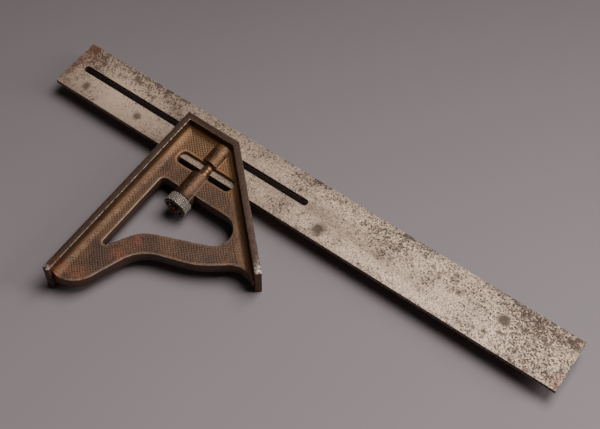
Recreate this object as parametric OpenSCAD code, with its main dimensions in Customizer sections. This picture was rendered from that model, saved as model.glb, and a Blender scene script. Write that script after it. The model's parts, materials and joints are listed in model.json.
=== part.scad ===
// Combination square: a slotted 12 in rule held in a cast iron head that has a 90 degree
// and a 45 degree face. A knurled nut draws a forked bolt, whose cross pin pulls the rule
// down onto its seat in the head.
//
// X runs along the rule and Z up through the head's thickness. The origin is the corner
// where the line of the seat meets the square face, on the plane that the head rests on.

/* [Rule] */
// Length of the rule
rule_l = 304.8; // [260:0.1:320]
// Width of the rule from edge to edge
rule_w = 30.4; // [29:0.1:34]
// Thickness of the rule
rule_t = 2.4; // [2:0.1:2.8]
// Length of the rule that stands out past the square face
rule_out = 74.35; // [60:0.05:110]
// Width of the slot along the rule
slot_w = 3.9; // [3.8:0.05:4.2]
// Length of the slot over its round ends
slot_l = 146.8; // [120:0.1:160]
// From the rule's end to the slot
slot_start = 6.85; // [5:0.05:10]
// From the seated edge to the slot's middle
slot_y = 15.4; // [15:0.05:16]

/* [Head] */
// Thickness of the head at its rim
head_t = 19.05; // [18:0.05:21]
// Thickness of the web between the rims
web_t = 7.05; // [6.5:0.05:8]
// Thickness of the rims
rim_t = 3.5; // [3:0.1:4]
// From the seat up to the head's top edge
top_y = 20.9; // [20.5:0.1:22]
// From the seat down to the end of the square face
toe_y = 92.3; // [92:0.1:96]
// Length of the head's top edge
top_l = 32.6; // [32.3:0.1:33.5]
// Length of the 45 degree face
mitre_l = 76.9; // [76.5:0.1:77.2]
// Radius of the hollows between the web and the rims
hollow_r = 4; // [2.5:0.1:5]

/* [Clamp] */
// From the square face to the bolt's axis
bolt_x = 26.2; // [25:0.1:27]
// Diameter of the bolt's shank
bolt_d = 6.35; // [6:0.05:6.5]
// Diameter of the bolt's threaded end
thread_d = 5; // [4.6:0.1:5.2]
// Outside diameter of the bosses that the bolt runs in
boss_d = 11.6; // [11:0.1:12.4]
// Diameter of the pin that crosses the rule's slot
pin_d = 3.5; // [3.3:0.05:3.6]
// Outside diameter of the nut
nut_d = 13; // [12:0.1:14]
// Length of the nut's knurled rim
nut_l = 6.25; // [5.5:0.05:7]
// Wire of the spring round the bolt
wire_d = 0.9; // [0.7:0.05:1]
// Turns of the spring
spring_turns = 3.25; // [2.5:0.25:3.5]

/* [Fits] */
// Clearance on each side of a sliding fit
fit = 0.05; // [0.03:0.01:0.08]

/* [Hidden] */
$fn = 64;

mid_z = head_t / 2;
web_z = mid_z - web_t / 2;
through = 1;                          // how far a cut runs past what it cuts
bite = 0.3;                           // how far joined shapes run into each other

// The slot that the rule runs in, open at the head's top edge
way_t = rule_t + 2 * fit;
// Past the right hand seat the slot's floor drops clear of the rule
seat_end = 50;
seat_drop = 1.6;

// The opening that parts the two seats and bares the bolt below the rule
gap_x = [10, 43.5];
gap_y = [-3.8, 3.3];
gap_r = 2.6;

// Where things lie along the bolt, from the nut's end up
boss_end = -19.2;
nut_top = boss_end - fit;
nut_end = nut_top - nut_l;
bolt_end = nut_end - 1.1;
shoulder_y = -13.9;
pocket_y = -14.3;
bolt_top = 18;
bolt_play = slot_w - pin_d - 2 * fit; // how far the bolt rises when the nut is slack
bore_top = bolt_top + bolt_play + 0.5;
fork_floor = -1;
// The pin bears on the slot's lower side while the clamp is tight
pin_y = slot_y - slot_w / 2 + pin_d / 2 + fit;
pin_l = 5.2;
spring_r = 3.5;
pocket_r = 4.6;

diag = sqrt(2) / 2;
mitre_end = [top_l + mitre_l * diag, top_y - mitre_l * diag];

// Points along an arc, ends included
function arc(c, r, a0, a1, n) =
    [for (i = [0:n]) let (a = a0 + (a1 - a0) * i / n) c + r * [cos(a), sin(a)]];

// The curved side of the head, from the toe of the square face to the end of the mitre face
function curved_side() = concat(
    arc([5.3, -74.9], 15.4, -97, -21.7, 12),
    arc([45.5, -73], 21.5, 158.3, 108.8, 9),
    arc([35.8, -6.1], 45, -71.2, -52, 5),
    arc([76.7, -47.3], 12.7, 128, 56, 9));

// The outline of the web, which runs a little way into the rims
function web_outline() = concat(
    [[rim_t / 2, top_y - rim_t / 2], [rim_t / 2, 2 - toe_y], [rim_t, 1.5 - toe_y]],
    curved_side(),
    [mitre_end - rim_t * [diag, diag], mitre_end - rim_t / 2 * [diag, diag],
     [top_l - rim_t / 2, top_y - rim_t / 2]]);

// The three sided window below the rule
function window_outline() = concat(
    arc([14.1, -18.2], 2.7, 90, 180, 6),
    arc([12.7, -61.6], 1.3, 180, 330, 8),
    arc([36.96, -62.33], 20, 150, 112.5, 6),
    arc([51, -24.8], 9.3, -67.5, 90, 16));

// A band of the rim's thickness along the square face, the top edge and the mitre face
function rim_outline() =
    let (inner_top = top_y - rim_t, inner_sum = top_l + top_y - rim_t / diag)
    [[0, -toe_y], [0, top_y], [top_l, top_y], mitre_end,
     mitre_end - rim_t * [diag, diag], [inner_sum - inner_top, inner_top],
     [rim_t, inner_top], [rim_t, -toe_y]];

module rounded_slot(l, w) {
    translate([w / 2, -w / 2]) square([l - w, w]);
    for (x = [w / 2, l - w / 2]) translate([x, 0]) circle(d = w);
}

module rounded_rectangle(x, y, r) {
    translate([x[0] + r, y[0]]) square([x[1] - x[0] - 2 * r, y[1] - y[0]]);
    translate([x[0], y[0] + r]) square([x[1] - x[0], y[1] - y[0] - 2 * r]);
    for (i = [x[0] + r, x[1] - r], j = [y[0] + r, y[1] - r]) translate([i, j]) circle(r);
}

// A shaft along the bolt's axis between two places on it
module on_bolt_axis(r, y0, y1) {
    translate([bolt_x, y1, mid_z]) rotate([90, 0, 0]) cylinder(r = r, h = y1 - y0);
}

// A hollow's outline, with the web along x and the rim along y, set a little way into both
function hollow_outline() = concat(
    [[-bite, hollow_r], [-bite, -bite], [hollow_r, -bite]],
    arc([hollow_r, hollow_r], hollow_r, 270, 180, 6));

// A hollow along the foot of a rim, from p over the length l, on both sides of the web
module hollow(p, angle, l) {
    translate([p[0], p[1], mid_z]) rotate([0, 0, angle]) for (side = [0, 1])
        mirror([0, 0, side]) translate([0, 0, web_t / 2]) rotate([90, 0, 90])
            linear_extrude(l) polygon(hollow_outline());
}

module hollows() {
    inner_top = top_y - rim_t;
    corner_x = top_l + top_y - rim_t / diag - inner_top;
    intersection() {
        linear_extrude(head_t) polygon(web_outline());
        union() {
            mirror([1, 0, 0]) hollow([-rim_t, -toe_y], 90, toe_y + inner_top);
            mirror([0, 1, 0]) hollow([rim_t, -inner_top], 0, corner_x - rim_t);
            hollow([corner_x + mitre_l * diag, inner_top - mitre_l * diag], 135, mitre_l);
        }
    }
}

module stock() {
    color("#6f5139") difference() {
        union() {
            linear_extrude(head_t) polygon(rim_outline());
            difference() {
                union() {
                    translate([0, 0, web_z]) linear_extrude(web_t) polygon(web_outline());
                    hollows();
                    on_bolt_axis(boss_d / 2, gap_y[1] - bite, top_y - rim_t / 2);
                }
                linear_extrude(head_t) polygon(window_outline());
                linear_extrude(head_t) rounded_rectangle(gap_x, gap_y, gap_r);
            }
            on_bolt_axis(boss_d / 2, boss_end, gap_y[0] - bite);
        }
        // the way for the rule
        translate([-through, -fit, mid_z - way_t / 2])
            cube([top_l + top_y + 2 * through, top_y + 2 * through, way_t]);
        translate([seat_end, -seat_drop, mid_z - way_t / 2])
            cube([top_y, top_y, way_t]);
        // the bolt's bore, the spring's pocket and the hole that the cross pin goes in by
        on_bolt_axis(bolt_d / 2 + fit, boss_end - through, bore_top);
        on_bolt_axis(pocket_r, boss_end - through, pocket_y);
        translate([bolt_x, pin_y, 0]) cylinder(d = pin_d + 4 * fit, h = mid_z);
    }
}

module rule() {
    color("#8d8276") translate([-rule_out, 0, mid_z - rule_t / 2])
        linear_extrude(rule_t) difference() {
            square([rule_l, rule_w]);
            translate([slot_start, slot_y]) rounded_slot(slot_l, slot_w);
        }
}

// Turned round the bolt's axis: the outline's x is the radius and its y the place along the axis
module turned() {
    translate([bolt_x, 0, mid_z]) rotate([-90, 0, 0]) rotate_extrude() children();
}

module clamp_bolt() {
    r = bolt_d / 2;
    thread_r = thread_d / 2;
    color("#8a6a48") difference() {
        turned() polygon([[0, bolt_end], [thread_r - 0.5, bolt_end], [thread_r, bolt_end + 0.5],
            [thread_r, shoulder_y], [r, shoulder_y], [r, bolt_top - 0.5],
            [r - 0.5, bolt_top], [0, bolt_top]]);
        translate([bolt_x - bolt_d, fork_floor, mid_z - way_t / 2])
            cube([2 * bolt_d, bolt_top - fork_floor + through, way_t]);
        translate([bolt_x, pin_y, 0]) cylinder(d = pin_d, h = head_t);
    }
}

module cross_pin() {
    color("#77706a") translate([bolt_x, pin_y, mid_z - pin_l / 2]) cylinder(d = pin_d, h = pin_l);
}

module clamp_spring() {
    sides = 8;
    steps = 18 * spring_turns;
    y0 = boss_end + wire_d / 2 + fit;
    rise = pocket_y - boss_end - wire_d - 2 * fit;
    rings = [for (i = [0:steps]) let (a = 360 * spring_turns * i / steps)
        [for (j = [0:sides - 1]) let (b = 360 * j / sides, r = spring_r + wire_d / 2 * cos(b))
            [bolt_x + r * cos(a), y0 + rise * i / steps + wire_d / 2 * sin(b),
             mid_z + r * sin(a)]]];
    points = [for (ring = rings) each ring];
    last = len(rings) - 1;
    walls = [for (i = [0:last - 1], j = [0:sides - 1]) let (k = (j + 1) % sides)
        [i * sides + j, (i + 1) * sides + j, (i + 1) * sides + k, i * sides + k]];
    ends = [[for (j = [0:sides - 1]) j], [for (j = [sides - 1:-1:0]) last * sides + j]];
    color("#4d4843") polyhedron(points, concat(walls, ends));
}

module clamp_nut() {
    r = nut_d / 2;
    bore = thread_d / 2 + fit;
    color("#908a83") turned() polygon([[bore, nut_top], [r - 0.7, nut_top],
        [r, nut_top - 0.7], [r, nut_end + 0.7], [r - 0.8, nut_end], [r - 1.7, nut_end],
        [r - 2, nut_end + 0.8], [bore + 1, nut_end + 0.8], [bore + 1, nut_end - 0.2],
        [bore, nut_end - 0.2]]);
}

stock();
rule();
clamp_bolt();
cross_pin();
clamp_spring();
clamp_nut();
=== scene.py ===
import json
import math
from contextlib import contextmanager

import bpy
from mathutils import Matrix, Vector


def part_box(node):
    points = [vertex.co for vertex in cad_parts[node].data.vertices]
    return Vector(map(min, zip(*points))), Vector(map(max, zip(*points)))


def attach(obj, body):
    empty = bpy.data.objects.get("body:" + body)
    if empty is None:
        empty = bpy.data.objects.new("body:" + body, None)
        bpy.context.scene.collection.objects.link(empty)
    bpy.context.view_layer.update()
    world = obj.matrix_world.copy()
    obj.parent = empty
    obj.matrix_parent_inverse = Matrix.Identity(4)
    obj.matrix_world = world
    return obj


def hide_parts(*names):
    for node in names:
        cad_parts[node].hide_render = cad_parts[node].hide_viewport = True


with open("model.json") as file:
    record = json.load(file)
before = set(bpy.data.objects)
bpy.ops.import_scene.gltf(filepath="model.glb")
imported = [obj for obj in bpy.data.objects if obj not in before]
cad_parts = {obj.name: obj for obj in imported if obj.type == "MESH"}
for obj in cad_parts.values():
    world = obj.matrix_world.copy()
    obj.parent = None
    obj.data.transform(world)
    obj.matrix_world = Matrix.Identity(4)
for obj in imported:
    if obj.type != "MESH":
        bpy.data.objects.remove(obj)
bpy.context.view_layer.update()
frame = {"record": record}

bl_info = {
    "name": "Combination square",
    "version": (1, 0, 0),
    "blender": (4, 5, 0),
    "location": "3D View > Sidebar > Square",
    "description": "Models an old combination square: slotted rule, cast head and clamp",
    "category": "Object",
}

MM = 0.001

HEAD_LOW, HEAD_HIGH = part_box("stock")
RULE_LOW, RULE_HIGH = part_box("rule")
BOLT_LOW, BOLT_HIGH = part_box("clamp_bolt")
NUT_LOW, NUT_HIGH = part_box("clamp_nut")
PIN_LOW, PIN_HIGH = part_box("cross_pin")
SPRING_LOW, SPRING_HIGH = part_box("clamp_spring")

MID_Z = (HEAD_LOW.z + HEAD_HIGH.z) / 2
BOLT_X = (BOLT_LOW.x + BOLT_HIGH.x) / 2

HALF_ROOT = math.sqrt(0.5)
WELD = 1e-6                         # points closer than this, in metres, are one
CLEAR = 0.01 * MM                   # keeps two faces from lying exactly in one plane
FIT = 0.05 * MM                     # play between parts that slide or turn
MITRE_FACE = 76.9                   # length of the 45 degree face, in mm
GAP_LOW, GAP_HIGH = -3.8, 3.3       # height of the opening that bares the bolt, in mm
SEAT_END, SEAT_DROP = 50, 1.6       # where the rule's seat is relieved, and by how much, in mm
WELL_R = 4.6                        # radius of the spring's pocket, in mm
SKIRT = 0.9                         # radius at the bosses' feet, in mm


# ---------------------------------------------------------------- sizes and colours


def length(name, description, millimetres, low=0.0):
    """A size in metres that is shown as a length"""
    return bpy.props.FloatProperty(name=name, description=description, unit="LENGTH",
                                   default=millimetres * MM, min=low, precision=5)


def colour(name, description, hex_code):
    """A colour given as it looks on screen"""
    return bpy.props.FloatVectorProperty(name=name, description=description, size=3,
                                         subtype="COLOR", min=0, max=1,
                                         default=linear(hex_code))


def linear(hex_code):
    """The linear colour of an sRGB hex value"""
    channels = [int(hex_code[i:i + 2], 16) / 255 for i in (1, 3, 5)]
    return tuple(c / 12.92 if c <= 0.04045 else ((c + 0.055) / 1.055) ** 2.4
                 for c in channels)


class HeadSettings(bpy.types.PropertyGroup):
    """Sizes of the cast head"""
    web_t: length("Web", "Thickness of the web", 7.05)
    rim_t: length("Rim", "Thickness of the rims", 3.5)
    hollow_r: length("Hollow", "Radius of the hollow between web and rim", 4.0)
    draft: length("Draft", "How far the walls lean in from the parting line", 0.28)
    arris: length("Arris", "Roundness of the web's edges", 0.5)
    rim_arris: length("Rim arris", "Wear on the rims' edges", 0.3)
    boss_d: length("Boss", "Diameter of the bosses", 11.6)
    chequer_pitch: length("Chequer pitch", "Spacing of the cut lines, 20 to the inch", 1.27)
    chequer_h: length("Chequer height", "Height of the diamonds", 0.24)
    chequer_margin: length("Plain margin", "Smooth border round the openings", 0.9)
    chequer_climb: length("Climb", "From a rim's foot to the start of the chequering", 1.8)


class RuleSettings(bpy.types.PropertyGroup):
    """Sizes of the rule"""
    slot_w: length("Slot", "Width of the slot", 3.9)
    slot_l: length("Slot length", "Length of the slot over its round ends", 146.8)
    slot_start: length("Slot start", "From the rule's end to the slot", 6.85)
    slot_y: length("Slot height", "From the seated edge to the slot's middle", 15.4)
    arris: length("Arris", "Wear on the rule's edges", 0.16)


class ClampSettings(bpy.types.PropertyGroup):
    """Sizes of the bolt, pin, spring and nut"""
    thread_d: length("Thread", "Outside diameter of the thread", 5.0)
    pitch: length("Pitch", "Rise of the thread in one turn", 0.9)
    shoulder: length("Shoulder", "From the head's seat down to the bolt's shoulder", 13.9)
    wire_d: length("Wire", "Diameter of the spring's wire", 0.9)
    spring_turns: bpy.props.FloatProperty(name="Turns", default=3.25, min=1,
                                          description="Turns of the spring")
    knurl_h: length("Knurl", "Depth of the knurl", 0.28)
    knurl_columns: bpy.props.IntProperty(name="Knurl columns", default=74, min=12, step=2,
                                         description="Twice the diamonds round the nut")
    knurl_rows: bpy.props.IntProperty(name="Knurl rows", default=9, min=2,
                                      description="Half diamonds along the nut")


class StageSettings(bpy.types.PropertyGroup):
    """Camera, floor and lights"""
    azimuth: bpy.props.FloatProperty(name="Azimuth", subtype="ANGLE",
                                     default=math.radians(33.83),
                                     description="Camera's turn about the vertical")
    elevation: bpy.props.FloatProperty(name="Elevation", subtype="ANGLE",
                                       default=math.radians(59.02),
                                       description="Camera's height above the floor")
    roll: bpy.props.FloatProperty(name="Roll", subtype="ANGLE",
                                  default=math.radians(1.904),
                                  description="Camera's turn about its own line of sight")
    distance: length("Distance", "From the camera to the point it looks at", 588.5)
    lens: bpy.props.FloatProperty(name="Lens", default=70.6, min=10,
                                  description="Focal length in mm on a 36 mm sensor")
    floor: colour("Floor", "Colour of the floor", "#9c9091")


class ColourSettings(bpy.types.PropertyGroup):
    """Colours of the finishes"""
    # iron and the golden colour are also dimmed for the painted shade under the rims; the golden
    # colour is brightened for the painted light over the web's upper corner
    iron: colour("Iron", "Brown patina on the web", "#70503f")
    # the dark colour also serves for the painted shade on the drafted walls
    iron_dark: colour("Iron, dark", "Grime at the foot of the diamonds", "#3a281d")
    iron_gold: colour("Iron, golden", "Golden brown in the hollows", "#8f653d")
    iron_rim: colour("Iron, rims", "Handled tops of the rims", "#483122")
    rust: colour("Rust", "Red rust towards the toes", "#a05c42")
    # bare metal also serves for the painted highlights along the web's edges and on the nut's
    # knurl
    bare: colour("Bare metal", "Metal rubbed bright on the edges", "#d6cabd")
    # the rule's colour is also brightened for a painted highlight beyond the head's square face
    steel: colour("Rule", "Dulled steel of the rule", "#caad95")
    steel_dark: colour("Rule, stains", "Old stains on the rule", "#5b4d42")
    pits: colour("Pits", "Rust pits in the rule", "#30261f")
    pin: colour("Pin", "Steel of the cross pin", "#8f8780")


SETTINGS = {"square_head": HeadSettings, "square_rule": RuleSettings,
            "square_clamp": ClampSettings, "square_stage": StageSettings,
            "square_colours": ColourSettings}


# ---------------------------------------------------------------- outlines, in millimetres


def arc(centre, radius, start, end, steps):
    """Points along an arc, ends included, with its angles in degrees"""
    angles = [math.radians(start + (end - start) * i / steps) for i in range(steps + 1)]
    return [(centre[0] + radius * math.cos(a), centre[1] + radius * math.sin(a))
            for a in angles]


def curved_side():
    """The head's curved side, from the square face's toe to the mitre face's end"""
    return (arc((5.3, -74.9), 15.4, -97, -21.7, 20)
            + arc((45.5, -73), 21.5, 158.3, 108.8, 16)
            + arc((35.8, -6.1), 45, -71.2, -52, 10)
            + arc((76.7, -47.3), 12.7, 128, 56, 14))


def window():
    """The three sided window below the rule"""
    return (arc((14.1, -18.2), 2.7, 90, 180, 8)
            + arc((12.7, -61.6), 1.3, 180, 330, 10)
            + arc((36.96, -62.33), 20, 150, 112.5, 14)
            + arc((51, -24.8), 9.3, -67.5, 90, 26))


def rule_gap():
    """The opening that bares the rule's edge and the bolt"""
    low, high, radius = (10, GAP_LOW), (43.5, GAP_HIGH), 2.6
    corners = [(high[0], low[1], -90), (high[0], high[1], 0),
               (low[0], high[1], 90), (low[0], low[1], 180)]
    points = []
    for x, y, start in corners:
        centre = (x - math.copysign(radius, x - low[0] - 1), y - math.copysign(radius, y))
        points += arc(centre, radius, start, start + 90, 6)
    return points


def head_corners():
    """The head's straight corners: toe, top left, top right and the mitre face's end"""
    low, high = HEAD_LOW / MM, HEAD_HIGH / MM
    mitre_drop = MITRE_FACE * HALF_ROOT
    return [(low.x, low.y), (low.x, high.y), (high.x - mitre_drop, high.y),
            (high.x, high.y - mitre_drop)]


def inside_rims(depth, toe=0.0):
    """A line that runs at a depth inside the three straight faces, from the mitre's end round
    to the toe, with its ends pulled in by toe"""
    bottom, left, right, end = head_corners()
    total = right[0] + right[1] - depth / HALF_ROOT
    along = (toe - depth) * HALF_ROOT, (toe + depth) * HALF_ROOT
    return [(end[0] - along[1], end[1] + along[0]), (total - left[1] + depth, left[1] - depth),
            (left[0] + depth, left[1] - depth), (left[0] + depth, bottom[1] + toe)]


def grown(points, distance):
    """An outline moved outwards by a distance, its points given counter-clockwise"""
    moved = []
    for i, point in enumerate(points):
        before, after = Vector(points[i - 1]), Vector(points[(i + 1) % len(points)])
        here = Vector(point)
        a, b = (here - before).normalized(), (after - here).normalized()
        normal = (Vector((a.y, -a.x)) + Vector((b.y, -b.x))).normalized()
        reach = distance / max(0.5, normal.dot(Vector((a.y, -a.x))))
        moved.append(tuple(here + normal * reach))
    return moved


# ---------------------------------------------------------------- modelling by hand, in code


def clear_selection():
    """Nothing selected and no object in edit mode"""
    if bpy.context.object and bpy.context.object.mode != "OBJECT":
        bpy.ops.object.mode_set(mode="OBJECT")
    bpy.ops.object.select_all(action="DESELECT")


def choose(piece):
    """The piece alone selected and active"""
    clear_selection()
    piece.select_set(True)
    bpy.context.view_layer.objects.active = piece


@contextmanager
def editing(piece, select="SELECT", by="VERT"):
    """The piece in edit mode, with its points, edges or faces picked by the tools inside"""
    choose(piece)
    bpy.ops.object.mode_set(mode="EDIT")
    if select:
        bpy.ops.mesh.select_all(action=select)
    bpy.ops.mesh.select_mode(type=by)
    yield
    bpy.ops.mesh.select_mode(type="VERT")
    bpy.ops.object.mode_set(mode="OBJECT")


def begun(name, primitive, **settings):
    """A named piece that starts as a primitive, with its place kept in its mesh"""
    clear_selection()
    primitive(**settings)
    piece = bpy.context.object
    piece.name = piece.data.name = name
    bpy.ops.object.transform_apply(location=True, rotation=True, scale=True)
    return piece


def face_from(name, outline, z):
    """A flat face with the outline given in mm, at height z in metres, facing up"""
    piece = begun(name, bpy.ops.mesh.primitive_circle_add, vertices=len(outline), radius=1,
                  fill_type="NGON")
    for vertex, (x, y) in zip(piece.data.vertices, outline):
        vertex.co = (x * MM, y * MM, z)
    return piece


def raise_face(piece, steps):
    """Raises the piece's only face through steps of (inset, rise), in edit mode"""
    with editing(piece):
        for inset, rise in steps:
            if inset:
                bpy.ops.mesh.inset(thickness=inset, depth=rise)
            else:
                bpy.ops.mesh.extrude_region_move(TRANSFORM_OT_translate={"value": (0, 0, rise)})


def drafted(name, outline, steps):
    """A closed solid, alike above and below the mid-plane, whose walls follow the steps"""
    piece = face_from(name, outline, 0)
    raise_face(piece, steps)
    apply_modifier(piece, "MIRROR", use_axis=(False, False, True), merge_threshold=WELD)
    return tidy(piece)


def prism(name, outline, low, high):
    """An upright solid with a plain outline between two heights"""
    piece = face_from(name, outline, low)
    raise_face(piece, [(0, high - low)])
    return tidy(piece)


def turned_over(piece):
    """Mirrors a piece to the other side of the mid-plane"""
    with editing(piece):
        bpy.ops.transform.resize(value=(1, 1, -1), center_override=(0, 0, 0))
    return tidy(piece)


def tidy(piece):
    """Merges doubled points and turns every face outwards"""
    with editing(piece):
        bpy.ops.mesh.remove_doubles(threshold=WELD)
        bpy.ops.mesh.normals_make_consistent(inside=False)
    return piece


def apply_modifier(piece, kind, **settings):
    """Adds a modifier with its settings and applies it"""
    choose(piece)
    bpy.ops.object.modifier_add(type=kind)
    modifier = piece.modifiers[-1]
    for key, value in settings.items():
        setattr(modifier, key, value)
    bpy.ops.object.modifier_apply(modifier=modifier.name)
    return piece


def combine(piece, operation, *tools):
    """Joins, cuts or trims the piece with closed solids, which are used up"""
    for tool in tools:
        apply_modifier(piece, "BOOLEAN", operation=operation, object=tool, solver="MANIFOLD")
        bpy.data.objects.remove(tool)
    return piece


def bevel(piece, width, segments=3, angle=40):
    """Rounds every edge sharper than the angle"""
    return apply_modifier(piece, "BEVEL", width=width, segments=segments,
                          limit_method="ANGLE", angle_limit=math.radians(angle))


def turned(name, profile, sides):
    """A solid turned about Z from a profile of (radius, height) in metres. A profile that comes
    back to its start makes a tube; otherwise its two ends are closed flat."""
    radius, height = profile[0]
    piece = begun(name, bpy.ops.mesh.primitive_circle_add, vertices=sides, radius=radius,
                  fill_type="NOTHING", location=(0, 0, height))
    with editing(piece):
        if profile[0] != profile[-1]:
            bpy.ops.mesh.edge_face_add()
        for (r0, z0), (r1, z1) in zip(profile, profile[1:]):
            bpy.ops.mesh.extrude_region_move(TRANSFORM_OT_translate={"value": (0, 0, z1 - z0)})
            bpy.ops.transform.resize(value=(r1 / r0, r1 / r0, 1), center_override=(0, 0, z1))
    return tidy(piece)


def onto_bolt_axis(piece):
    """Lays a piece that was turned about Z along the bolt's axis, with its Z as the frame's Y"""
    choose(piece)
    piece.rotation_euler = (-math.pi / 2, 0, 0)
    piece.location = (BOLT_X, 0, MID_Z)
    bpy.ops.object.transform_apply(location=True, rotation=True, scale=True)
    return piece


def rod(name, radius, y0, y1, sides=64):
    """A plain rod along the bolt's axis"""
    piece = begun(name, bpy.ops.mesh.primitive_cylinder_add, vertices=sides, radius=radius,
                  depth=y1 - y0, location=(0, 0, (y0 + y1) / 2))
    return onto_bolt_axis(piece)


def block(name, low, high):
    """A plain box between two corners"""
    low, high = Vector(low), Vector(high)
    return begun(name, bpy.ops.mesh.primitive_cube_add, size=1, location=(low + high) / 2,
                 scale=high - low)


def lift(piece, z):
    """Moves a piece up, with its place kept in its mesh"""
    choose(piece)
    piece.location.z += z
    bpy.ops.object.transform_apply(location=True)
    return piece


def coil(name, section, turns, rise, steps):
    """Winds a closed section, points of (radius, height), about Z and caps its two ends"""
    piece = begun(name, bpy.ops.mesh.primitive_circle_add, vertices=len(section), radius=1,
                  fill_type="NOTHING")
    for vertex, (radius, height) in zip(piece.data.vertices, section):
        vertex.co = (radius, 0, height)
    apply_modifier(piece, "SCREW", angle=2 * math.pi * turns, screw_offset=rise * turns,
                   steps=int(steps * turns), render_steps=int(steps * turns),
                   use_smooth_shade=False)
    with editing(piece, "DESELECT", "EDGE"):
        bpy.ops.mesh.select_non_manifold()
        bpy.ops.mesh.fill_holes(sides=0)
    return tidy(piece)


def finished(piece, node, material_names, smooth_angle=35):
    """Gives a piece its materials and its place in the frame"""
    choose(piece)
    bpy.ops.object.shade_smooth_by_angle(angle=math.radians(smooth_angle))
    piece.data.materials.clear()
    for name in material_names:
        piece.data.materials.append(bpy.data.materials[name])
    record = frame["record"]
    body = next(b for b, members in record["behaviour"]["bodies"].items() if node in members)
    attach(piece, body)
    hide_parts(node)
    return piece


# ---------------------------------------------------------------- finishes


def node(tree, kind, *values, **settings):
    """Adds a shader node with its settings, and fills its live inputs in order: a socket is
    linked, a number or colour is set and None is left alone. Gives its first live output."""
    made = tree.nodes.new("ShaderNode" + kind)
    for key, value in settings.items():
        setattr(made, key, value)
    for socket, value in zip([s for s in made.inputs if s.enabled], values):
        if isinstance(value, bpy.types.NodeSocket):
            tree.links.new(value, socket)
        elif value is not None:
            socket.default_value = (*value, 1) if socket.type == "RGBA" else value
    return next(s for s in made.outputs if s.enabled)


def started(name, metallic, roughness):
    """A material's node tree, its surface shader, and the place of each point in the frame"""
    material = bpy.data.materials.new(name)
    material.use_nodes = True
    tree = material.node_tree
    shader = tree.nodes["Principled BSDF"]
    shader.inputs["Metallic"].default_value = metallic
    shader.inputs["Roughness"].default_value = roughness
    place = node(tree, "TexCoord").node.outputs["Object"]
    return tree, shader, place


def surfaced(tree, shader, shade, roughness, height=None, relief=0.0):
    """Links colour and roughness to the shader, and a bump whose height of 1 stands for so
    many mm of relief"""
    tree.links.new(shade, shader.inputs["Base Color"])
    tree.links.new(roughness, shader.inputs["Roughness"])
    if height:
        bump = node(tree, "Bump", None, relief * MM, height)
        bump.node.inputs["Strength"].default_value = 1
        bump.node.inputs["Distance"].default_value = relief * MM
        tree.links.new(height, bump.node.inputs["Height"])
        tree.links.new(bump, shader.inputs["Normal"])


def mottling(tree, place, grain, low=0.4, high=0.6, detail=4, squeeze=(1, 1, 1)):
    """Patches, 0 to 1, whose grain is a size in mm; squeeze draws them out into streaks"""
    moved = node(tree, "Mapping", place, None, None, squeeze)
    cloud = node(tree, "TexNoise", moved, 1 / (grain * MM), detail, 0.6)
    return node(tree, "MapRange", cloud, low, high, 0, 1, interpolation_type="SMOOTHSTEP")


def patch(tree, place, centre, radius, squeeze=(1, 1, 1)):
    """1 at a centre and 0 beyond a radius, both in mm"""
    apart = node(tree, "VectorMath", place, tuple(c * MM for c in centre), operation="SUBTRACT")
    apart = node(tree, "VectorMath", apart, squeeze, operation="MULTIPLY")
    away = node(tree, "VectorMath", apart, operation="LENGTH")
    return node(tree, "MapRange", away, 0, radius * MM, 1, 0)


def from_bolt_axis(tree, place):
    """Distance from the bolt's axis"""
    apart = node(tree, "VectorMath", place, (BOLT_X, 0, MID_Z), operation="SUBTRACT")
    across = node(tree, "VectorMath", apart, (1, 0, 1), operation="MULTIPLY")
    return node(tree, "VectorMath", across, operation="LENGTH")


def folded(tree, operation, first, *rest):
    """Values taken together one after another, such as the product of several shares"""
    for value in rest:
        first = node(tree, "Math", first, value, operation=operation)
    return first


def mask(tree, value, rise, fall=None, levels=(0, 1)):
    """A smooth step between two levels while a length climbs through rise, in mm, which drops
    to nothing again while it climbs through fall"""
    step = node(tree, "MapRange", value, rise[0] * MM, rise[1] * MM, *levels,
                interpolation_type="SMOOTHSTEP")
    if fall is None:
        return step
    return folded(tree, "MULTIPLY", step, mask(tree, value, fall, levels=(1, 0)))


def coated(tree, shade, *coats):
    """A colour with coats over it, each a share and a colour, the last one outermost"""
    for share, over in coats:
        shade = node(tree, "Mix", share, shade, over, data_type="RGBA")
    return shade


def scaled(shade, share):
    """A colour dimmed or brightened to a share of itself"""
    return tuple(c * share for c in shade)


def from_straight_faces(tree, x, y):
    """Distance in from the nearest of the head's three straight faces"""
    total = sum(head_corners()[2]) * MM
    across = folded(tree, "MULTIPLY", folded(tree, "SUBTRACT", total, x, y), HALF_ROOT)
    return folded(tree, "MINIMUM", x, folded(tree, "SUBTRACT", HEAD_HIGH.y, y), across)


def cut_lines(tree, x, y):
    """0 along the chequering's cut lines and 1 on the diamonds' points"""
    centre = (HEAD_LOW.xy + HEAD_HIGH.xy) / 2
    pitch = bpy.context.scene.square_head.chequer_pitch
    across = folded(tree, "SUBTRACT", x, centre.x)
    up = folded(tree, "SUBTRACT", y, centre.y)
    nearest = []
    for sign in (1, -1):
        along = folded(tree, "ADD", across, folded(tree, "MULTIPLY", up, sign))
        along = folded(tree, "MULTIPLY", along, HALF_ROOT / pitch)
        along = folded(tree, "ADD", along, chequer_start())
        nearest.append(node(tree, "Math", along, 0.5, operation="PINGPONG"))
    return node(tree, "MapRange", folded(tree, "MINIMUM", *nearest), 0.02, 0.34, 0, 1)


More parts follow.
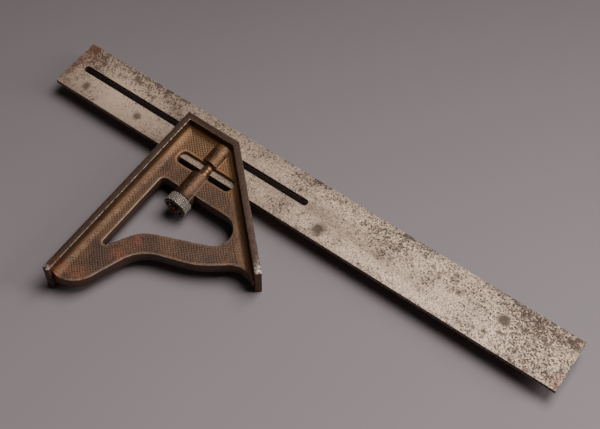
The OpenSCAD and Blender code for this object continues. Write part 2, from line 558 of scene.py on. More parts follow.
def cast_iron_patina(colours):
    """Cast iron under a century's brown oxide: a satin, half metallic skin, golden where rust
    has stayed at the rims' feet with a painted highlight on that crest and over the upper corner,
    painted shade under the rims and on the drafted walls, darker in the cut lines, brown and
    rubbed on the rims, and paler along the web's edges as wear and a painted highlight"""
    tree, shader, place = started("cast_iron_brown_patina", 0.4, 0.5)
    x, y, z = node(tree, "SeparateXYZ", place).node.outputs
    offset = folded(tree, "SUBTRACT", z, MID_Z)
    rise = node(tree, "Math", offset, operation="ABSOLUTE")
    inside = from_straight_faces(tree, x, y)
    broad = mottling(tree, place, 15, 0.42, 0.62)
    mottle = mottling(tree, place, 2.4)
    grain = mottling(tree, place, 0.5, 0.35, 0.65, 3)
    iron, dark, gold, rim, rust, bare = (
        tuple(getattr(colours, k)) for k in ("iron", "iron_dark", "iron_gold", "iron_rim",
                                             "rust", "bare"))

    # golden patina where the chequering starts at the rims' feet and all over the corner above,
    # also a painted highlight on the crest, brightened further in the corner as painted light
    corner = mask(tree, y, (-16, 6))
    crest = folded(tree, "MAXIMUM", mask(tree, inside, (3.9, 4.8), (6.2, 9.5)), corner)
    golden = coated(tree, scaled(gold, 0.7), (corner, scaled(gold, 1.5)))
    # painted shade under the rims: brown drawn out into streaks along them, dimmed to stand for
    # the rims' shadow
    streaks = mottling(tree, place, 1.1, 0.35, 0.6, 3, (1, 0.15, 1))
    under = coated(tree, scaled(iron, 0.42), (streaks, scaled(gold, 0.44)))
    # the smooth bosses round the bolt
    away = from_bolt_axis(tree, place)
    on_boss = folded(tree, "MULTIPLY", mask(tree, away, (6.2, 6.8), levels=(1, 0)),
                     mask(tree, y, (11, 17), levels=(1, 0)), mask(tree, rise, (3.56, 4.1)))
    smooth = coated(tree, rim, (mottle, scaled(rim, 1.6)))
    # darker along the cut lines; the plain borders lie just below the chequering
    cut = folded(tree, "MULTIPLY", folded(tree, "SUBTRACT", 1, cut_lines(tree, x, y)),
                 mask(tree, rise, (3.527, 3.533)), mask(tree, inside, (5.1, 5.5)),
                 folded(tree, "SUBTRACT", 1, on_boss),
                 node(tree, "MapRange", broad, 0, 1, 0.95, 0.6))
    # painted shade on the drafted walls below the faces, stronger on the side below the mid-plane
    walls = folded(tree, "MULTIPLY", mask(tree, rise, (2.8, 3.1), levels=(1, 0)),
                   mask(tree, offset, (-0.6, 0.2), levels=(0.8, 0.5)))
    # the rims' outer parts, dulled by handling
    outer = folded(tree, "MAXIMUM", mask(tree, rise, (8.7, 9.2)),
                   mask(tree, inside, (0.2, 0.5), levels=(0.8, 0)))
    handled = coated(tree, scaled(rim, 1.3), (grain, scaled(rim, 0.7)))
    # red rust at the toe, on the curved bar and at the mitre face's end
    rusty = [patch(tree, place, centre, radius, (1, 1, 0.3))
             for centre, radius in (((6, -87, 13), 8), ((13, -84, 13), 6), ((22.5, -64, 13), 6),
                                    ((25, -52, 13), 5), ((85, -37, 12), 5))]
    rusty = node(tree, "MapRange", folded(tree, "MAXIMUM", *rusty), 0.05, 0.8, 0, 0.6)

    shade = coated(tree, scaled(iron, 0.75), (mottle, iron),
                   (folded(tree, "MULTIPLY", broad, 0.4), gold),
                   (folded(tree, "MULTIPLY", crest, 0.7), golden),
                   (mask(tree, inside, (3.9, 4.6), levels=(1, 0)), under),
                   (folded(tree, "MULTIPLY", on_boss, 0.85), smooth),
                   (cut, dark), (walls, dark), (outer, handled),
                   (folded(tree, "MULTIPLY", rusty, mottle), rust),
                   (folded(tree, "MULTIPLY", grain, 0.25), dark))

    # the rims' arrises, rubbed bright along the square face, and their ends
    arris = folded(tree, "MULTIPLY", mask(tree, x, (3.6, 5), levels=(0.5, 0.2)),
                   mask(tree, rise, (9.2, 9.26), (9.5, 9.52)))
    ends = folded(tree, "MAXIMUM", mask(tree, y, (-91.8, -88.5), levels=(1, 0)),
                  mask(tree, x, (79, 85.5)))
    ends = folded(tree, "MULTIPLY", ends, mask(tree, rise, (8.9, 9.3), levels=(0, 0.6)))
    worn = folded(tree, "MULTIPLY", folded(tree, "MAXIMUM", arris, ends),
                  mottling(tree, place, 1.4, 0.38, 0.58))
    # and the thin paler line round the web's edges: handling wear, painted paler still as a
    # highlight, fainter from the rule's gap upwards
    edge = folded(tree, "MULTIPLY", mask(tree, rise, (3.08, 3.2), (3.49, 3.52)),
                  node(tree, "MapRange", mottle, 0, 1, 0.25, 0.6),
                  mask(tree, y, (-12, -6), levels=(1, 0.45)), mask(tree, inside, (3.4, 3.9)))
    shade = coated(tree, shade, (edge, scaled(bare, 0.7)), (worn, bare))

    bright = folded(tree, "MAXIMUM", worn, folded(tree, "MULTIPLY", on_boss, 0.6))
    tree.links.new(node(tree, "MapRange", bright, 0, 1, 0.4, 0.9), shader.inputs["Metallic"])
    rough = folded(tree, "SUBTRACT", node(tree, "MapRange", mottle, 0, 1, 0.4, 0.58),
                   folded(tree, "MULTIPLY", bright, 0.2))
    skin = folded(tree, "ADD", grain, folded(tree, "MULTIPLY", mottle, 0.6))
    surfaced(tree, shader, shade, rough, skin, 0.05)


def pitted_rule_steel(colours):
    """Ground tool steel, dulled and rusted: a grey beige metal peppered with fine pits, with
    dark stains in clusters, its arrises rubbed bright and a painted highlight beyond the head's
    square face"""
    tree, shader, place = started("tool_steel_dulled_pitted", 0.4, 0.5)
    _, y, z = node(tree, "SeparateXYZ", place).node.outputs
    depth = node(tree, "Math", folded(tree, "SUBTRACT", z, MID_Z), operation="ABSOLUTE")
    half = (RULE_HIGH.z - RULE_LOW.z) / 2 / MM
    top = 10.7
    steel, stain, pit, rust, bare = (
        tuple(getattr(colours, k)) for k in ("steel", "steel_dark", "pits", "rust", "bare"))
    fine = mottling(tree, place, 0.75, 0.4, 0.58, 3)
    broad = mottling(tree, place, 3.2, 0.38, 0.62, 3)
    clusters = mottling(tree, place, 12, 0.45, 0.7, 4, (0.6, 1, 1))
    # a painted highlight: a paler patch of the steel's colour where light shines on the rule
    # beyond the head's square face
    rubbed = patch(tree, place, (-42, 7, top), 34, (1, 0.5, 1))

    # pits crowd on the edges, along the outer one, in clusters and at the stained end
    crowds = [folded(tree, "MULTIPLY", patch(tree, place, (u, v, top), radius), share)
              for u, v, radius, share in ((-72, 28, 30, 0.1), (-30, 32, 26, 0.09),
                                          (205, 28, 30, 0.09), (215, 6, 24, 0.07),
                                          (120, 24, 22, 0.04))]
    busy = folded(tree, "ADD", folded(tree, "MULTIPLY", clusters, 0.06),
                  mask(tree, y, (14, 31), levels=(0, 0.05)), *crowds,
                  mask(tree, depth, (half - 0.4, half - 0.2), levels=(0.15, 0)))
    pepper = node(tree, "TexNoise", place, 1 / (0.95 * MM), 4, 0.7)
    blots = node(tree, "TexNoise", place, 1 / (4 * MM), 5, 0.65)
    pits = node(tree, "MapRange", folded(tree, "ADD", pepper, busy), 0.56, 0.66, 0, 0.85)
    spots = node(tree, "MapRange", folded(tree, "ADD", blots, busy), 0.61, 0.72, 0, 0.75)
    # old drops: a round one towards the free end and some ragged ones
    drops = [node(tree, "MapRange",
                  folded(tree, "ADD", patch(tree, place, (u, v, top), radius), blots),
                  start, start + 0.45, 0, 0.75)
             for u, v, radius, start in ((192.5, 17.7, 5.2, 0.7), (92, 7, 7, 0.8),
                                         (-59, 6.3, 4.5, 0.75), (-24.5, 6.7, 5, 0.85))]
    pitted = folded(tree, "MAXIMUM", pits, spots, *drops)
    rusty = folded(tree, "MAXIMUM", patch(tree, place, (-76, 24, 10), 18, (1, 0.6, 1)),
                   patch(tree, place, (232, 4, 10), 9), patch(tree, place, (232, 31, 10), 8))
    # the arrises lie between the faces and the edges
    arris = folded(tree, "MULTIPLY", mottling(tree, place, 5, 0.3, 0.55),
                   mask(tree, depth, (half - 0.2, half - 0.13), (half - 0.03, half - 0.01)))

    shade = coated(tree, scaled(steel, 0.5), (fine, steel),
                   (folded(tree, "MULTIPLY", broad, 0.5), scaled(steel, 0.62)),
                   (folded(tree, "MULTIPLY", clusters, 0.4), stain),
                   (folded(tree, "MULTIPLY", rubbed, 0.9), scaled(steel, 1.25)),
                   (pitted, pit), (folded(tree, "MULTIPLY", rusty, broad), scaled(rust, 0.55)),
                   (arris, bare))
    rough = node(tree, "MapRange", pitted, 0, 1, 0.46, 0.8)
    relief = folded(tree, "SUBTRACT", folded(tree, "MULTIPLY", fine, 0.3), pitted)
    surfaced(tree, shader, shade, rough, relief, 0.05)


def knurled_steel(colours):
    """Knurled steel: the diamonds' points rubbed to bright metal and painted brighter still as a
    highlight, dark in the grooves and in the dished end"""
    tree, shader, place = started("steel_knurled_worn", 0.7, 0.32)
    away = from_bolt_axis(tree, place)
    mottle = mottling(tree, place, 1.4)
    outer = (NUT_HIGH.x - NUT_LOW.x) / 2 / MM
    dark, iron, bare = tuple(colours.iron_dark), tuple(colours.iron), tuple(colours.bare)
    # the grip: points rubbed bright and painted brighter still as a highlight, dark in the
    # grooves
    grip = coated(tree, scaled(dark, 0.5),
                  (mask(tree, away, (outer - 0.27, outer - 0.11)), scaled(bare, 1.35)),
                  (folded(tree, "MULTIPLY", mottle, 0.12), iron))
    dish = mask(tree, away, (outer - 2.8, outer - 2.6), (outer - 1.9, outer - 1.6))
    shade = coated(tree, iron, (mottle, scaled(bare, 0.5)), (dish, scaled(dark, 0.7)),
                   (mask(tree, away, (outer - 1.2, outer - 0.8)), grip))
    surfaced(tree, shader, shade, node(tree, "MapRange", mottle, 0, 1, 0.25, 0.45), mottle, 0.02)


def turned_steel(colours):
    """Turned steel with a golden brown patina and faint tool marks round it"""
    tree, shader, place = started("steel_turned_brown_patina", 0.6, 0.42)
    marks = mottling(tree, place, 0.4, 0.4, 0.6, 2, (0.02, 1, 0.02))
    shade = coated(tree, tuple(colours.iron_rim),
                   (mottling(tree, place, 1.8), tuple(colours.iron_gold)),
                   (folded(tree, "MULTIPLY", marks, 0.35), tuple(colours.iron_dark)))
    surfaced(tree, shader, shade, node(tree, "MapRange", marks, 0, 1, 0.35, 0.55), marks, 0.02)


def drawn_pin_steel(colours):
    """Bright drawn steel pin, dulled by oil, with fine lines along it"""
    tree, shader, place = started("steel_drawn_pin", 0.85, 0.35)
    lines = mottling(tree, place, 0.5, 0.4, 0.6, 2, (1, 1, 0.05))
    shade = coated(tree, tuple(colours.pin), (lines, scaled(tuple(colours.pin), 0.7)))
    surfaced(tree, shader, shade, node(tree, "MapRange", lines, 0, 1, 0.3, 0.48), lines, 0.01)


def oiled_spring_wire(colours):
    """Drawn spring wire, blackened by oil, mottled with dark brown"""
    tree, shader, place = started("spring_wire_oil_black", 0.8, 0.38)
    mottle = mottling(tree, place, 0.8)
    shade = coated(tree, tuple(colours.iron_dark), (mottle, tuple(colours.steel_dark)))
    surfaced(tree, shader, shade, node(tree, "MapRange", mottle, 0, 1, 0.3, 0.5), mottle, 0.01)


def background_card(stage):
    """Matt card with painted light: darker towards the back and left, paler towards the front,
    with the faintest unevenness
    """
    tree, shader, place = started("background_card_matt", 0.0, 0.85)
    cloud = mottling(tree, place, 240, 0.35, 0.65, 2)
    x, y, _ = node(tree, "SeparateXYZ", place).node.outputs
    # painted light: the card's colour falls off from the front towards the back left, standing
    # for the lamps' falloff
    forward = folded(tree, "SUBTRACT", folded(tree, "MULTIPLY", x, 0.55), y)
    floor = tuple(stage.floor)
    shade = coated(tree, scaled(floor, 0.24),
                   (node(tree, "MapRange", forward, -0.28, 0.2, 0, 1), floor),
                   (folded(tree, "MULTIPLY", cloud, 0.1), scaled(floor, 0.8)))
    surfaced(tree, shader, shade, node(tree, "MapRange", cloud, 0, 1, 0.8, 0.9))


# ---------------------------------------------------------------- the head's parts


def half_height():
    """From the mid-plane to the head's faces"""
    return (HEAD_HIGH.z - HEAD_LOW.z) / 2


def rim_frame(head):
    """The band of full thickness along the square face, the top edge and the mitre face"""
    outline = inside_rims(head.rim_t / MM) + head_corners()
    piece = prism("head", outline, -half_height(), half_height())
    return bevel(piece, head.rim_arris)


def web_side(head):
    """The web's outline, counter-clockwise, which runs half a rim's thickness into the rims"""
    return curved_side() + inside_rims(head.rim_t / MM / 2, toe=2.0)


def rounded_arris(head):
    """Steps of (inset, rise) from the parting line up a leaning wall and over a round arris"""
    high = head.web_t / 2 - head.arris
    steps = [(head.draft, high)]
    turns = [math.radians(30 * i) for i in range(4)]
    for a, b in zip(turns, turns[1:]):
        steps.append((head.arris * (math.cos(a) - math.cos(b)),
                      head.arris * (math.sin(b) - math.sin(a))))
    return steps


def web_plate(head):
    """The web with its drafted walls"""
    return drafted("web", web_side(head), rounded_arris(head))


def opening(head, name, outline):
    """A cutter for an opening whose walls lean back from the parting line to a round arris"""
    spread = (head.draft + head.arris) / MM
    piece = face_from(name, grown(outline, spread), half_height())
    steps = [(0, head.web_t / 2 - half_height())]
    steps += [(inset, -rise) for inset, rise in reversed(rounded_arris(head))]
    raise_face(piece, steps)
    with editing(piece, select=None):
        bpy.ops.mesh.delete(type="ONLY_FACE")
    apply_modifier(piece, "MIRROR", use_axis=(False, False, True), merge_threshold=WELD)
    return tidy(piece)


def hollows(head):
    """Filling between web and rims with a concave face on both sides"""
    rim, radius = head.rim_t / MM, head.hollow_r / MM
    reach = head.web_t / 2 + head.hollow_r
    outer, inner = inside_rims(rim / 2, toe=2.0), inside_rims(rim + radius + 1, toe=1.0)
    piece = prism("hollows", outer + inner[::-1], -reach, reach)
    wide = prism("web_side", grown(web_side(head), -head.draft / MM), -reach, reach)
    combine(piece, "INTERSECT", wide)
    for side in (-1, 1):
        piece = combine(piece, "DIFFERENCE", pocket(head, rim, side))
    return piece


def pocket(head, rim, side):
    """The space above the web between the rims, with a round foot"""
    corners = inside_rims(rim, toe=-20)
    corners = corners + [(corners[-1][0], corners[-1][1] - 60), (corners[0][0] + 60,
                                                                 corners[0][1] - 60)]
    foot, top = head.web_t / 2, half_height() + head.hollow_r
    piece = prism("pocket", corners, foot, top)
    with editing(piece, "DESELECT"):
        pass
    for edge in piece.data.edges:
        edge.select = all(abs(piece.data.vertices[v].co.z - foot) < WELD for v in edge.vertices)
    with editing(piece, select=None, by="EDGE"):
        bpy.ops.mesh.bevel(offset=head.hollow_r, segments=8)
    return turned_over(piece) if side < 0 else tidy(piece)


def boss_skirt(head, y0, y1, fillet):
    """A boss's section with a small concave skirt where it meets the web, run along the bolt"""
    radius, web = head.boss_d / 2, head.web_t / 2
    x = math.sqrt((radius + fillet) ** 2 - (web + fillet) ** 2)
    tangent = math.atan2(web + fillet, x)
    quarter = [(radius * math.cos(a), radius * math.sin(a))
               for a in (math.pi / 2 + (tangent - math.pi / 2) * i / 16 for i in range(17))]
    quarter += [(x + fillet * math.cos(a), web + fillet + fillet * math.sin(a))
                for a in (tangent + math.pi + (math.pi / 2 - tangent) * i / 6
                          for i in range(1, 7))]
    right = quarter + [(u, -v) for u, v in reversed(quarter)]
    left = [(-u, v) for u, v in reversed(right)]
    outline = [(u / MM, v / MM) for u, v in (right + left[1:-1])]
    piece = prism("skirt", outline, y0, y1)
    return onto_mid_bolt_axis(piece)


def onto_mid_bolt_axis(piece):
    """Lays a piece along the bolt's axis while the head is modelled about its mid-plane"""
    return lift(onto_bolt_axis(piece), -MID_Z)


def chequer_start():
    """The part of a pitch between the middle of the head and the nearest cut line"""
    return 0.5 * (chequer_count() % 2)


def chequer_count():
    """How many cut lines it takes to cover the head in one direction"""
    head = bpy.context.scene.square_head
    return math.ceil((HEAD_HIGH.xy - HEAD_LOW.xy).length / head.chequer_pitch)


def chequer_field(head):
    """The part of the web's face that is chequered, which runs a little way up the hollows"""
    margin = head.chequer_margin / MM
    inner = inside_rims(head.rim_t / MM + head.chequer_climb / MM)
    side = grown(curved_side(), -(head.draft + head.arris) / MM - margin)
    left, top = inner[3][0], inner[2][1]
    mitre = sum(inner[1])
    # plain beside the round end of the window
    plain = mitre - 7
    bend = (mitre - 2, 2)
    start = next(i for i, p in enumerate(side) if p[0] > left)
    end = next(i for i, p in enumerate(side) if sum(p) > plain - 1 and p[0] > 60)
    return side[start:end] + [(plain - side[end][1], side[end][1]), (plain + 12, -12),
                              (bend[0] - bend[1], bend[1]), (mitre - top, top), (left, top),
                              (left, side[start][1])]


def up_the_hollow(head, x, y):
    """How far the hollow's face stands above the web's at a point"""
    corners = head_corners()
    across = (sum(corners[2]) * MM - x - y) * HALF_ROOT
    inside = min(x - HEAD_LOW.x, HEAD_HIGH.y - y, across) - head.rim_t
    short = head.hollow_r - max(inside, 0.2 * MM)
    return head.hollow_r - math.sqrt(head.hollow_r ** 2 - short ** 2) if short > 0 else 0


def chequer(head, side):
    """Pointed diamonds cut at 45 degrees to the rule, trimmed to the chequered field"""
    centre = (HEAD_LOW.xy + HEAD_HIGH.xy) / 2
    count = chequer_count()
    piece = begun("chequer", bpy.ops.mesh.primitive_grid_add, x_subdivisions=count,
                  y_subdivisions=count, size=count * head.chequer_pitch,
                  location=(centre.x, centre.y, head.web_t / 2 + CLEAR),
                  rotation=(0, 0, math.radians(45)))
    with editing(piece):
        bpy.ops.mesh.extrude_region_move(TRANSFORM_OT_translate={"value": (0, 0, -0.3 * MM)})
    tidy(piece)
    for face in piece.data.polygons:
        face.select = face.normal.z > 0.9
    with editing(piece, select=None, by="FACE"):
        bpy.ops.mesh.poke(offset=head.chequer_h)
    for vertex in piece.data.vertices:
        lift_here = up_the_hollow(head, vertex.co.x, vertex.co.y)
        on_point = vertex.co.z > head.web_t / 2 + head.chequer_h / 2
        flatter = min(1, lift_here / (0.3 * MM)) * head.chequer_h / 2 if on_point else 0
        vertex.co.z += lift_here - flatter
    field = prism("field", chequer_field(head), 0, half_height())
    margin = (head.draft + head.arris + head.chequer_margin) / MM
    for name, hole in (("window", window()), ("gap", rule_gap())):
        combine(field, "DIFFERENCE", prism(name, grown(hole, margin), -1 * MM, 2 * half_height()))
    clear = head.boss_d / 2 * 0.92
    combine(field, "DIFFERENCE",
            block("boss_clear", (BOLT_X - clear, -0.03, -1 * MM), (BOLT_X + clear, 0.03, 0.03)))
    combine(piece, "INTERSECT", field)
    return turned_over(piece) if side < 0 else tidy(piece)


class SQUARE_OT_head(bpy.types.Operator):
    """Cast head: web, rims, hollows, bosses, openings, the rule's way and the chequering"""
    bl_idname = "square.head"
    bl_label = "Head"

    def execute(self, context):
        head = context.scene.square_head
        clamp = context.scene.square_clamp
        inner = web_plate(head)
        top = HEAD_HIGH.y - head.rim_t / 2
        gap_low, gap_high = GAP_LOW * MM, GAP_HIGH * MM
        combine(inner, "UNION", hollows(head),
                lift(rod("upper_boss", head.boss_d / 2, gap_high - 1 * MM, top, 96), -MID_Z),
                boss_skirt(head, gap_high - 1 * MM, top, SKIRT * MM),
                boss_skirt(head, -15 * MM, gap_low + 1 * MM, SKIRT * MM))
        combine(inner, "DIFFERENCE", opening(head, "window", window()),
                opening(head, "gap", rule_gap()))
        combine(inner, "UNION", lower_boss(head, gap_low), rim_frame(head))
        cut_head(inner, clamp)
        combine(inner, "UNION", chequer(head, 1), chequer(head, -1))
        inner.name = inner.data.name = "head_casting"
        finished(lift(inner, MID_Z), "stock", ["cast_iron_brown_patina"], 32)
        return {"FINISHED"}


def lower_boss(head, top):
    """The boss that the nut bears on, with a round lower edge"""
    end = NUT_HIGH.y + FIT
    radius, arris = head.boss_d / 2, head.arris
    profile = [(radius - arris, end), (radius - arris * 0.3, end + arris * 0.3),
               (radius, end + arris), (radius, top)]
    return onto_mid_bolt_axis(turned("lower_boss", profile, 96))


def cut_head(piece, clamp):
    """Cuts the rule's way, the bolt's bore, the spring's pocket and the pin's hole"""
    above = 1.5 * HEAD_HIGH.y
    way = (RULE_HIGH.z - RULE_LOW.z) / 2 + FIT
    far = HEAD_HIGH.x + 5 * MM
    combine(piece, "DIFFERENCE",
            block("way", (-5 * MM, -FIT, -way), (far, above, way)),
            block("relief", (SEAT_END * MM, -SEAT_DROP * MM, -way), (far, above, way)))
    bore = (BOLT_HIGH.x - BOLT_LOW.x) / 2 + FIT
    well_top = -clamp.shoulder - 0.4 * MM
    combine(piece, "DIFFERENCE",
            lift(rod("bore", bore, well_top - 1 * MM, BOLT_HIGH.y + 0.8 * MM), -MID_Z),
            lift(rod("well", WELL_R * MM, HEAD_LOW.y / 4, well_top), -MID_Z),
            pin_hole(PIN_LOW, PIN_HIGH))
    return piece


def pin_hole(low, high):
    """The hole in the lower side that the cross pin goes in by"""
    middle = (low + high) / 2
    return begun("pin_way", bpy.ops.mesh.primitive_cylinder_add, vertices=48,
                 radius=(high.x - low.x) / 2 + 0.1 * MM, depth=2 * half_height(),
                 location=(middle.x, middle.y, -half_height() - CLEAR))


# ---------------------------------------------------------------- the rule and the clamp


def rule_slot(rule):
    """The outline of the long slot, in mm"""
    radius, length_mm = rule.slot_w / 2 / MM, rule.slot_l / MM
    start = (RULE_LOW.x + rule.slot_start) / MM
    y = (RULE_LOW.y + rule.slot_y) / MM
    return (arc((start + radius, y), radius, 90, 270, 16)
            + arc((start + length_mm - radius, y), radius, -90, 90, 16))


class SQUARE_OT_rule(bpy.types.Operator):
    """Flat steel rule with its long slot and worn arrises"""
    bl_idname = "square.rule"
    bl_label = "Rule"

    def execute(self, context):
        rule = context.scene.square_rule
        piece = block("rule_blade", RULE_LOW, RULE_HIGH)
        cutter = prism("slot", rule_slot(rule), RULE_LOW.z - 1 * MM, RULE_HIGH.z + 1 * MM)
        combine(piece, "DIFFERENCE", cutter)
        bevel(piece, rule.arris)
        finished(piece, "rule", ["tool_steel_dulled_pitted"], 32)
        return {"FINISHED"}


class SQUARE_OT_nut(bpy.types.Operator):
    """Round knurled nut with a dished lower end"""
    bl_idname = "square.nut"
    bl_label = "Nut"

    def execute(self, context):
        clamp = context.scene.square_clamp
        radius = (NUT_HIGH.x - NUT_LOW.x) / 2
        bore = clamp.thread_d / 2 + FIT
        top, end = NUT_HIGH.y, NUT_LOW.y + 0.2 * MM
        chamfer = 0.7 * MM
        high, low = top - chamfer, end + chamfer
        rows = [high + (low - high) * i / clamp.knurl_rows for i in range(clamp.knurl_rows + 1)]
        profile = [(bore, top), (radius - 0.75 * MM, top), (radius - 0.5 * MM, top - 0.1 * MM),
                   (radius - 0.2 * MM, top - 0.45 * MM)]
        profile += [(radius, y) for y in rows]
        profile += [(radius - 0.2 * MM, end + 0.4 * MM), (radius - 0.55 * MM, end + 0.1 * MM),
                    (radius - 0.9 * MM, end), (radius - 1.5 * MM, end),
                    (radius - 1.8 * MM, end + 0.2 * MM), (radius - 2.0 * MM, end + 0.8 * MM),
                    (bore + 1.0 * MM, end + 0.8 * MM), (bore + 0.9 * MM, end - 0.1 * MM),
                    (bore + 0.7 * MM, end - 0.2 * MM), (bore, end - 0.2 * MM), (bore, top)]
        piece = turned("knurled_nut", profile, clamp.knurl_columns)
        knurl(piece, clamp, radius, rows)
        finished(onto_bolt_axis(piece), "clamp_nut", ["steel_knurled_worn"], 24)
        return {"FINISHED"}


def knurl(piece, clamp, radius, rows):
    """Pulls every other point of the grip in, and folds its faces along the low diagonals"""
    step = 2 * math.pi / clamp.knurl_columns
    row_step = rows[1] - rows[0]
    grip = []
    for vertex in piece.data.vertices:
        x, y, z = vertex.co
        on_grip = rows[-1] - WELD < z < rows[0] + WELD and math.hypot(x, y) > radius - WELD
        grip.append(on_grip)
        column, row = round(math.atan2(y, x) / step), round((z - rows[0]) / row_step)
        if on_grip and (column + row) % 2:
            vertex.co = (x * (1 - clamp.knurl_h / radius), y * (1 - clamp.knurl_h / radius), z)
    for face in piece.data.polygons:
        face.select = all(grip[v] for v in face.vertices)
    with editing(piece, select=None, by="FACE"):
        bpy.ops.mesh.quads_convert_to_tris(quad_method="SHORTEST_DIAGONAL")


class SQUARE_OT_bolt(bpy.types.Operator):
    """Forked bolt: threaded shank below, slotted for the rule above, cross drilled"""
    bl_idname = "square.bolt"
    bl_label = "Bolt"

    def execute(self, context):
        clamp = context.scene.square_clamp
        radius, thread = (BOLT_HIGH.x - BOLT_LOW.x) / 2, clamp.thread_d / 2
        shoulder, end, top = -clamp.shoulder, BOLT_LOW.y, BOLT_HIGH.y
        core = thread - 0.45 * MM
        profile = [(0.9 * MM, end + 0.5 * MM), (1.1 * MM, end + 0.15 * MM), (1.4 * MM, end),
                   (core - 0.2 * MM, end), (core, end + 0.15 * MM), (core, shoulder),
                   (radius - 0.3 * MM, shoulder), (radius, shoulder + 0.3 * MM),
                   (radius, top - 0.5 * MM), (radius - 0.15 * MM, top - 0.15 * MM),
                   (radius - 0.5 * MM, top)]
        piece = turned("forked_bolt", profile, 72)
        section = [(core - 0.2 * MM, -0.34 * MM), (core, -0.32 * MM), (thread, -0.06 * MM),
                   (thread, 0.06 * MM), (core, 0.32 * MM), (core - 0.2 * MM, 0.34 * MM)]
        turns = (shoulder - end - 1.2 * MM) / clamp.pitch
        thread_ridge = coil("thread", section, turns, clamp.pitch, 36)
        lift(thread_ridge, end + 0.6 * MM)
        combine(piece, "UNION", thread_ridge)
        piece = onto_bolt_axis(piece)
        way = (RULE_HIGH.z - RULE_LOW.z) / 2 + FIT
        fork = block("fork", (BOLT_X - 2 * radius, -1 * MM, MID_Z - way),
                     (BOLT_X + 2 * radius, top + 1 * MM, MID_Z + way))
        combine(piece, "DIFFERENCE", bevel(fork, 0.2 * MM, segments=2), pin_rod("pin_hole", 0.02))
        finished(piece, "clamp_bolt", ["steel_turned_brown_patina"], 30)
        return {"FINISHED"}


def pin_rod(name, long):
    """A rod where the cross pin runs"""
    return begun(name, bpy.ops.mesh.primitive_cylinder_add, vertices=48,
                 radius=(PIN_HIGH.x - PIN_LOW.x) / 2, depth=long,
                 location=(PIN_LOW + PIN_HIGH) / 2)


class SQUARE_OT_pin(bpy.types.Operator):
    """Cross pin in the bolt's fork, which pulls the rule down"""
    bl_idname = "square.pin"
    bl_label = "Cross pin"

    def execute(self, context):
        piece = pin_rod("drive_pin", PIN_HIGH.z - PIN_LOW.z)
        bevel(piece, 0.3 * MM, angle=60)
        finished(piece, "cross_pin", ["steel_drawn_pin"], 32)
        return {"FINISHED"}


class SQUARE_OT_spring(bpy.types.Operator):
    """Coil spring in the head's pocket, round the bolt"""
    bl_idname = "square.spring"
    bl_label = "Spring"

    def execute(self, context):
        clamp = context.scene.square_clamp
        wire = clamp.wire_d / 2
        centre = (SPRING_HIGH.x - SPRING_LOW.x) / 2 - wire
        section = [(centre + u * MM, v * MM)
                   for u, v in arc((0, 0), wire / MM, 0, 360, 14)[:-1]]
        rise = (SPRING_HIGH.y - SPRING_LOW.y - 2 * wire) / clamp.spring_turns
        piece = coil("coil_spring", section, clamp.spring_turns, rise, 32)
        lift(piece, SPRING_LOW.y + wire)
        finished(onto_bolt_axis(piece), "clamp_spring", ["spring_wire_oil_black"], 60)
        return {"FINISHED"}


# ---------------------------------------------------------------- the stage


def softbox(name, place, aim, size, watts):
    """A large lamp that looks at a point"""
    clear_selection()
    bpy.ops.object.light_add(type="AREA", location=place)
    lamp = bpy.context.object
    lamp.name = lamp.data.name = name
    lamp.data.shape = "RECTANGLE"
    lamp.data.size, lamp.data.size_y = size
    lamp.data.energy = watts
    lamp.rotation_euler = (Vector(aim) - Vector(place)).to_track_quat("-Z", "Y").to_euler()


class SQUARE_OT_stage(bpy.types.Operator):
    """Grey card, soft lamps and the camera"""
    bl_idname = "square.stage"
    bl_label = "Stage"

    def execute(self, context):
        stage = context.scene.square_stage
        background_card(stage)
        floor = begun("background_card", bpy.ops.mesh.primitive_plane_add, size=6,
                      location=(0.08, 0.4, -0.00005))
        floor.data.materials.append(bpy.data.materials["background_card_matt"])

        world = bpy.data.worlds.new("studio")
        world.use_nodes = True
        background = world.node_tree.nodes["Background"]
        background.inputs["Color"].default_value = (0.62, 0.61, 0.62, 1)
        background.inputs["Strength"].default_value = 0.06
        context.scene.world = world

        aim = (0.08, 0.008, 0.011)
        softbox("key", (0.25, 0.3, 0.83), aim, (0.55, 0.5), 8)
        softbox("side", (0.68, 0.36, 0.42), aim, (0.3, 0.4), 2.2)
        place_camera(context, stage, Vector(aim))
        return {"FINISHED"}


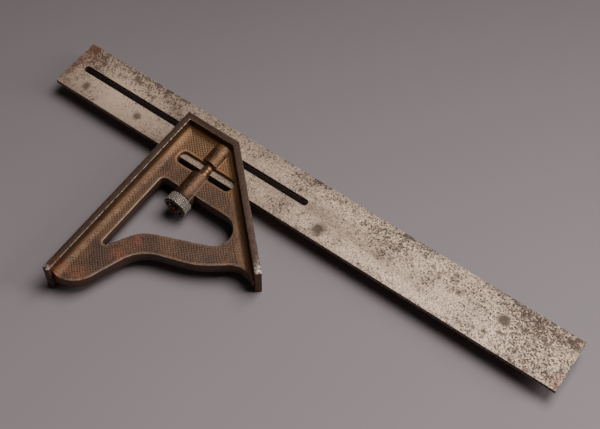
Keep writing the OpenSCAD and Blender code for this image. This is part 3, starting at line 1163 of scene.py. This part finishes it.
def place_camera(context, stage, aim):
    """The camera, turned about the point it looks at"""
    azimuth, elevation, roll = stage.azimuth, stage.elevation, stage.roll
    back = Vector((math.sin(azimuth) * math.cos(elevation),
                   -math.cos(azimuth) * math.cos(elevation), math.sin(elevation)))
    clear_selection()
    bpy.ops.object.camera_add(location=aim + back * stage.distance)
    camera = context.object
    camera.name = camera.data.name = "camera"
    camera.data.lens = stage.lens
    camera.data.sensor_width = 36
    camera.data.clip_start = 0.01
    upright = back.to_track_quat("Z", "Y").to_matrix()
    camera.rotation_euler = (upright @ Matrix.Rotation(roll, 3, "Z")).to_euler()
    context.scene.camera = camera


# ---------------------------------------------------------------- the add-on


OPERATORS = (SQUARE_OT_head, SQUARE_OT_rule, SQUARE_OT_bolt, SQUARE_OT_pin, SQUARE_OT_spring,
             SQUARE_OT_nut, SQUARE_OT_stage)


class SQUARE_PT_panel(bpy.types.Panel):
    """Lists the square's pieces and its sizes"""
    bl_label = "Combination square"
    bl_space_type = "VIEW_3D"
    bl_region_type = "UI"
    bl_category = "Square"

    def draw(self, context):
        for operator in OPERATORS:
            self.layout.operator(operator.bl_idname)
        for attribute, group in SETTINGS.items():
            box = self.layout.box()
            box.label(text=group.__doc__)
            for name in group.__annotations__:
                box.prop(getattr(context.scene, attribute), name)


def register():
    """Registers the settings, the operators and the panel"""
    for attribute, group in SETTINGS.items():
        bpy.utils.register_class(group)
        setattr(bpy.types.Scene, attribute, bpy.props.PointerProperty(type=group))
    for cls in OPERATORS + (SQUARE_PT_panel,):
        bpy.utils.register_class(cls)


def unregister():
    """Takes them away again"""
    for cls in (SQUARE_PT_panel,) + OPERATORS[::-1]:
        bpy.utils.unregister_class(cls)
    for attribute, group in SETTINGS.items():
        delattr(bpy.types.Scene, attribute)
        bpy.utils.unregister_class(group)


def main():
    """Builds the square and its stage"""
    register()
    colours = bpy.context.scene.square_colours
    for finish in (cast_iron_patina, pitted_rule_steel, knurled_steel, turned_steel,
                   drawn_pin_steel, oiled_spring_wire):
        finish(colours)
    for operator in OPERATORS:
        group, name = operator.bl_idname.split(".")
        getattr(getattr(bpy.ops, group), name)()


if __name__ == "__main__":
    main()
